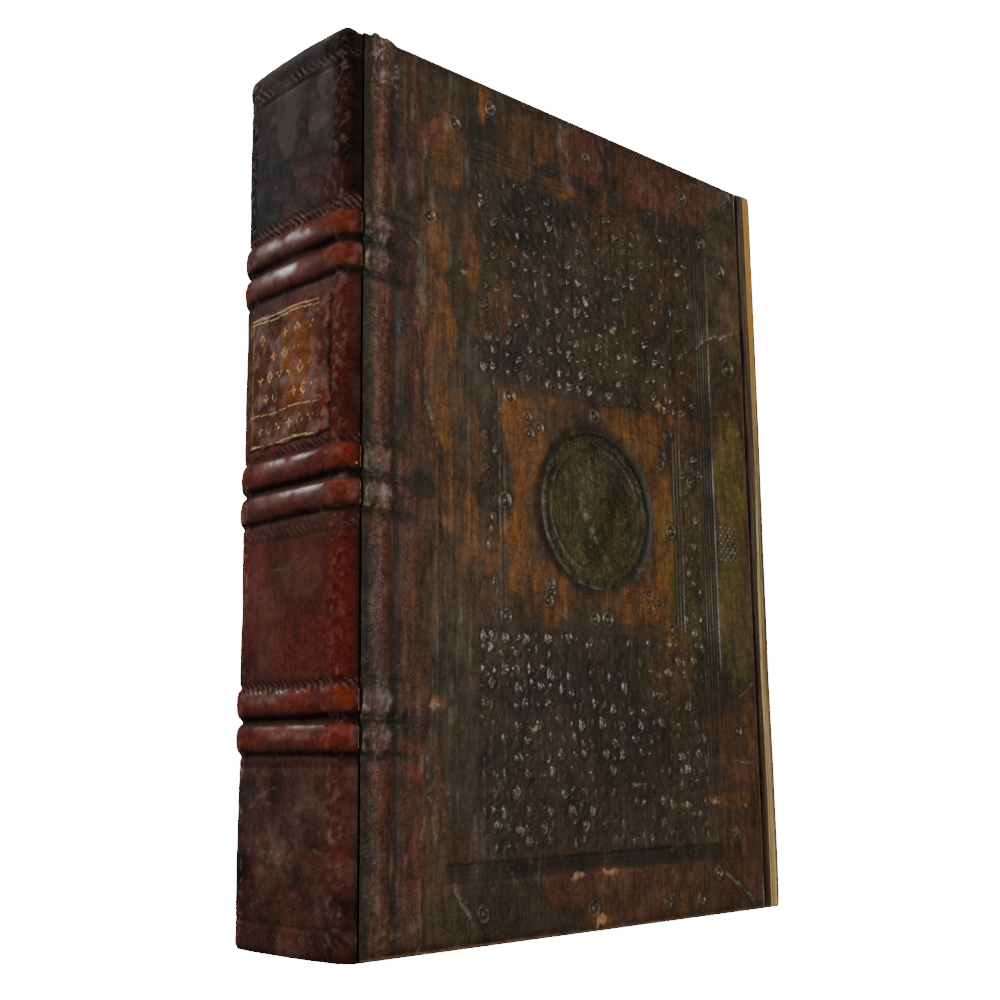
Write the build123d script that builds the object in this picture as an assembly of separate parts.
from build123d import *
import math
import os

# An old manuscript book in a leather binding over wooden boards, standing upright on its tail.
# Frame: +Z from tail to head, +X from spine to fore-edge, +Y from front cover to back cover.
# Origin: on the ground, at the middle of the closed book. All lengths are millimetres.

# Closed book
book_height = 260.0          # tail to head of the covers and the leaves
cover_width = 177.0          # joint line to the fore-edge of a cover
book_thickness = 55.0        # leather face to leather face

# Covers
cover_leather = 1.0
board_thickness = 5.0
turn_in_width = 14.0         # leather folded onto the inside of the board
turn_in_thickness = 0.6
pastedown_thickness = 0.3
leaf_clearance = 0.3         # covers to leaves
joint_gap = 0.3              # spine leather to cover leather, where the book hinges
hinge_offset = 1.25          # hinge axis outside the leather face, clear of the raised slips

# Leaves
fore_edge_reach = 9.5        # how far the swollen leaves stand past the covers
fore_edge_setback = 1.75     # outermost leaf behind the leather face, past the covers
fore_edge_clearance = 0.8    # cover edge to the swollen leaves
leaf_corner_radius = 4.0

# Spine in plan: one long back arc joined by round corners to the two faces
spine_bulge = 5.1
spine_back_radius = 240.0
spine_corner_radius = 7.4
spine_leather_thickness = 1.2
lining_thickness = 0.6

# Double sewing supports and the bands they raise
pair_centres = [62.6, 128.7, 196.5]
pair_spacing = 10.0
band_rise = 2.5
band_width = 8.6
band_edge_radius = 2.2
cord_width = 6.0
cord_edge_radius = 1.2
slip_rise = 0.9              # bump of a laced slip on the cover
slip_reach = 14.0            # joint line to the end of a slip
slip_leg = 3.0               # part of the slip that goes down through the board
slip_channel_depth = 2.1
slip_cover = 1.2             # leather beside and past a slip
slip_edge_radius = 0.8

# Endbands and headcaps
endband_size = 3.2
endband_core_size = 2.0
endband_margin = 8.0         # end of an endband to the outer leather face
cap_thickness = 1.0
headcap_rise = 1.8           # top of the spine leather over the covers
cap_reach = 3.6              # leather turned in over an endband

# Title label on the spine
label_thickness = 0.4
label_bottom = 141.0
label_height = 41.5
label_front_margin = 8.0
label_back_margin = 7.0

# Medallion on the front cover
medallion_radius = 26.1
medallion_x = 95.3           # from the joint line
medallion_z = 129.2
medallion_rise = 1.1
medallion_field_rise = 0.5
medallion_seat = 0.5         # recess in the leather
medallion_rim_width = 2.5

fit_gap = 0.05               # between pieces that are glued or laced together

# Worked out from the sizes above
half = book_thickness / 2
inner_depth = cover_leather + board_thickness + turn_in_thickness + 2 * fit_gap
block_half = half - inner_depth - leaf_clearance
spine_edge = -joint_gap / 2
cover_edge = joint_gap / 2
block_offset = -(spine_leather_thickness + lining_thickness + fit_gap)
cord_offset = band_rise - spine_leather_thickness - fit_gap
back_centre_x = spine_back_radius - spine_bulge
corner_y = half - spine_corner_radius
corner_x = back_centre_x - math.sqrt((spine_back_radius - spine_corner_radius) ** 2 - corner_y ** 2)
corner_turn = math.degrees(math.atan2(corner_y, back_centre_x - corner_x))
band_centres = [z + side * pair_spacing / 2 for z in pair_centres for side in (-1, 1)]
far = 2 * (cover_width + book_thickness)
head_top = book_height + headcap_rise
head_endband_z = head_top - cap_thickness - fit_gap - endband_size
tail_endband_z = cap_thickness + fit_gap
endband_offset = -(spine_leather_thickness + 2 * fit_gap)

# The closed book's box, which sets the origin
front_reach = max(slip_rise, medallion_rise)
back_reach = slip_rise
shift_x = -(cover_width + fore_edge_reach - spine_bulge - band_rise) / 2
shift_y = (front_reach - back_reach) / 2


def block(x0, x1, y0, y1, z0, z1):
    """A box between two corners."""
    return Pos((x0 + x1) / 2, (y0 + y1) / 2, (z0 + z1) / 2) * Box(x1 - x0, y1 - y0, z1 - z0)


def layer(x0, x1, depth0, depth1, z0, z1):
    """A flat piece of the front cover, between two depths behind its leather face."""
    return block(x0, x1, depth0 - half, depth1 - half, z0, z1)


def polar(centre, radius, degrees):
    """A point at a radius and an angle round a centre."""
    angle = math.radians(degrees)
    return (centre[0] + radius * math.cos(angle), centre[1] + radius * math.sin(angle))


def plan(offset):
    """The spine's outline seen from above, grown outwards by an offset."""
    corner = spine_corner_radius + offset
    back = spine_back_radius + offset
    inside = corner_x + spine_corner_radius
    face_y = half + offset
    front_centre = (corner_x, -corner_y)
    front_join = polar(front_centre, corner, corner_turn - 180)
    front_middle = polar(front_centre, corner, (corner_turn - 270) / 2)
    with BuildSketch() as outline:
        with BuildLine():
            Line((inside, -face_y), (corner_x, -face_y))
            ThreePointArc((corner_x, -face_y), front_middle, front_join)
            ThreePointArc(front_join, (back_centre_x - back, 0), (front_join[0], -front_join[1]))
            ThreePointArc((front_join[0], -front_join[1]), (front_middle[0], -front_middle[1]), (corner_x, face_y))
            Line((corner_x, face_y), (inside, face_y))
            Line((inside, face_y), (inside, -face_y))
        make_face()
    return outline.sketch


def prism(offset, z0, z1):
    """The spine's outline carried up between two heights."""
    return Pos(0, 0, z0) * extrude(plan(offset), amount=z1 - z0, dir=(0, 0, 1))


def rounded_prism(offset, z0, z1, radius):
    """The same, with its upper and lower outer edges rounded."""
    body = prism(offset, z0, z1)
    ends = body.edges().filter_by(lambda edge: abs(edge.center().Z - (z0 + z1) / 2) > (z1 - z0) / 4)
    outer = ends.filter_by(lambda edge: edge.center().X < corner_x + spine_corner_radius - 0.01)
    return fillet(outer, radius)


def spine_side(body, reach):
    """What lies behind the joint line, and no further out than the covers' faces plus a reach."""
    return body & block(-far, spine_edge, -half - reach, half + reach, 0, head_top)


def make_text_block():
    """Folded vellum leaves as one solid: backed at the spine, swollen past the covers."""
    inner = block(-1.0, cover_width + fore_edge_clearance + 1.0, -block_half, block_half, 0, book_height)
    shoulders = prism(block_offset, 0, book_height) & block(-far, spine_edge, -far, far, 0, book_height)
    swell_half = half - fore_edge_setback
    swell = block(cover_width + fore_edge_clearance, cover_width + fore_edge_reach,
                  -swell_half, swell_half, 0, book_height)
    leaves = inner + shoulders + swell
    corners = leaves.edges().filter_by(Axis.Y).filter_by(
        lambda edge: edge.center().X > cover_width + fore_edge_reach - 0.01)
    leaves = fillet(corners, leaf_corner_radius)
    inner_radius = spine_back_radius + endband_offset - endband_size
    endband_front = back_centre_x - math.sqrt(inner_radius ** 2 - (half - endband_margin) ** 2)
    for z0, z1 in ((head_endband_z - fit_gap, head_top), (0, tail_endband_z + endband_size + fit_gap)):
        leaves -= block(-far, endband_front + fit_gap, -far, far, z0, z1)
    return leaves


def make_spine_leather():
    """Leather over the spine, moulded over six cords and turned in over both endbands."""
    shell = prism(0, 0, head_top) - prism(-spine_leather_thickness, 0, head_top)
    for z0, z1 in ((0, cap_thickness), (head_top - cap_thickness, head_top)):
        shell += prism(0, z0, z1) - prism(-cap_reach, z0, z1)
    for z in band_centres:
        band = rounded_prism(band_rise, z - band_width / 2, z + band_width / 2, band_edge_radius)
        band -= prism(-spine_leather_thickness / 2, z - band_width, z + band_width)
        shell += band
    for z in band_centres:
        shell -= make_cord_body(z, fit_gap)
    return spine_side(shell, slip_rise)


def make_cord_body(z, gap):
    """The space of one cord round the spine, with a gap all round."""
    reach = cord_width / 2 + gap
    cord = rounded_prism(cord_offset + gap, z - reach, z + reach, cord_edge_radius + gap)
    cord -= prism(block_offset, z - 2 * reach, z + 2 * reach)
    return spine_side(cord, slip_rise - spine_leather_thickness - fit_gap + gap)


def make_lining(z0, z1):
    """A strip of vellum glued to the spine between two cords, under the leather."""
    strip = prism(-spine_leather_thickness - fit_gap, z0, z1) - prism(block_offset, z0, z1)
    return strip & block(-far, spine_edge, -corner_y, corner_y, z0, z1)


def make_endband(z, offset, size):
    """A bar that follows the spine at one end of the leaves."""
    bar = prism(offset, z, z + size) - prism(offset - size, z, z + size)
    end = half - endband_margin
    return bar & block(-far, corner_x, -end, end, z, z + size)


def make_label():
    """A thin leather label pasted between the upper two pairs of bands."""
    top = label_bottom + label_height
    patch = prism(fit_gap + label_thickness, label_bottom, top) - prism(fit_gap, label_bottom, top)
    return patch & block(-far, spine_edge, -half + label_front_margin, half - label_back_margin,
                         label_bottom, top)


def make_slip(z, gap=0.0):
    """The end of a cord laced along a channel in the board and down through a hole."""
    side = cord_width / 2 - gap
    top_depth = cover_leather - slip_rise + fit_gap
    along = layer(cover_edge + fit_gap, slip_reach - gap, top_depth, cover_leather + slip_channel_depth - gap,
                  z - side, z + side)
    leg = layer(slip_reach - slip_leg + gap, slip_reach - gap, top_depth,
                cover_leather + board_thickness - gap, z - side, z + side)
    return along + leg


def make_board():
    """A wooden board with a channel and a hole for each slip."""
    edge = cover_leather + fit_gap
    board = layer(cover_edge + fit_gap, cover_width - edge, edge, edge + board_thickness, edge, book_height - edge)
    for z in band_centres:
        side = cord_width / 2 + fit_gap
        end = slip_reach + fit_gap
        board -= layer(0, end, 0, cover_leather + slip_channel_depth + 2 * fit_gap, z - side, z + side)
        board -= layer(end - slip_leg - fit_gap, end, 0, far, z - side, z + side)
    return board


def make_cover_leather():
    """Leather over a board: the face, three wrapped edges, three turn-ins and a bump over each slip."""
    depth = inner_depth
    sheet = layer(cover_edge, cover_width, 0, depth, 0, book_height)
    inside = cover_leather
    sheet -= layer(0, cover_width - inside, inside, depth - turn_in_thickness, inside, book_height - inside)
    sheet -= layer(0, cover_width - turn_in_width, depth - turn_in_thickness - fit_gap, far,
                   turn_in_width, book_height - turn_in_width)
    for z in band_centres:
        side = cord_width / 2 + slip_cover
        bump = layer(cover_edge, slip_reach + slip_cover, -slip_rise, cover_leather / 2, z - side, z + side)
        rim = bump.faces().sort_by(Axis.Y)[0].edges().filter_by(
            lambda edge: edge.center().X > cover_edge + 0.01)
        sheet += fillet(rim, slip_edge_radius)
    for z in band_centres:
        side = cord_width / 2 + fit_gap
        sheet -= layer(0, slip_reach + fit_gap, cover_leather - slip_rise, cover_leather + fit_gap,
                       z - side, z + side)
    return sheet


def make_pastedown():
    """A leaf pasted to the inside of the board, within the turn-ins."""
    depth = cover_leather + board_thickness + 2 * fit_gap
    margin = turn_in_width + fit_gap
    return layer(cover_edge + fit_gap, cover_width - margin, depth, depth + pastedown_thickness,
                 margin, book_height - margin)


def disc(radius, depth0, depth1):
    """A round plate on the front cover, at the medallion's place."""
    place = Pos(medallion_x, (depth0 + depth1) / 2 - half, medallion_z) * Rot(90, 0, 0)
    return place * Cylinder(radius, depth1 - depth0)


def make_medallion():
    """A moulded plate with a raised rim, seated in the leather."""
    plate = disc(medallion_radius, -medallion_rise, medallion_seat - fit_gap)
    plate -= disc(medallion_radius - medallion_rim_width, -medallion_rise, -medallion_field_rise)
    rim = plate.faces().sort_by(Axis.Y)[0].edges()
    return fillet(rim, (medallion_rise - medallion_field_rise) / 2)


def mirrored(body):
    """The same piece on the back cover."""
    return mirror(body, about=Plane.XZ)


pieces = {}
pieces["text_block"] = make_text_block()
pieces["spine_leather"] = make_spine_leather()
for index, z in enumerate(band_centres, start=1):
    pieces[f"sewing_cord_{index}"] = make_cord_body(z, 0.0)

lining_edge = cord_width / 2 + 2 * fit_gap
lining_stops = [tail_endband_z + endband_size + fit_gap]
for z in pair_centres:
    lining_stops += [z - pair_spacing / 2 - lining_edge, z + pair_spacing / 2 + lining_edge]
lining_stops.append(head_endband_z - fit_gap)
for index in range(len(pair_centres) + 1):
    pieces[f"spine_lining_{index + 1}"] = make_lining(lining_stops[2 * index], lining_stops[2 * index + 1])

core_inset = (endband_size - endband_core_size) / 2
for name, z in (("tail", tail_endband_z), ("head", head_endband_z)):
    thread = make_endband(z, endband_offset, endband_size)
    hole = make_endband(z + core_inset - fit_gap, endband_offset - core_inset + fit_gap,
                        endband_core_size + 2 * fit_gap)
    pieces[f"{name}_endband_sewing"] = thread - hole
    pieces[f"{name}_endband_core"] = make_endband(z + core_inset, endband_offset - core_inset,
                                                  endband_core_size)
pieces["title_label"] = make_label()

board = make_board()
leather = make_cover_leather()
pastedown = make_pastedown()
seat = disc(medallion_radius + fit_gap, -fit_gap, medallion_seat)
pieces["front_board"] = board
pieces["front_leather"] = leather - seat
pieces["front_pastedown"] = pastedown
pieces["medallion"] = make_medallion()
pieces["back_board"] = mirrored(board)
pieces["back_leather"] = mirrored(leather)
pieces["back_pastedown"] = mirrored(pastedown)
for index, z in enumerate(band_centres, start=1):
    slip = make_slip(z)
    pieces[f"front_slip_{index}"] = slip
    pieces[f"back_slip_{index}"] = mirrored(slip)

os.makedirs("parts", exist_ok=True)
for name, piece in pieces.items():
    export_step(Pos(shift_x, shift_y, 0) * piece, f"parts/{name}.step")
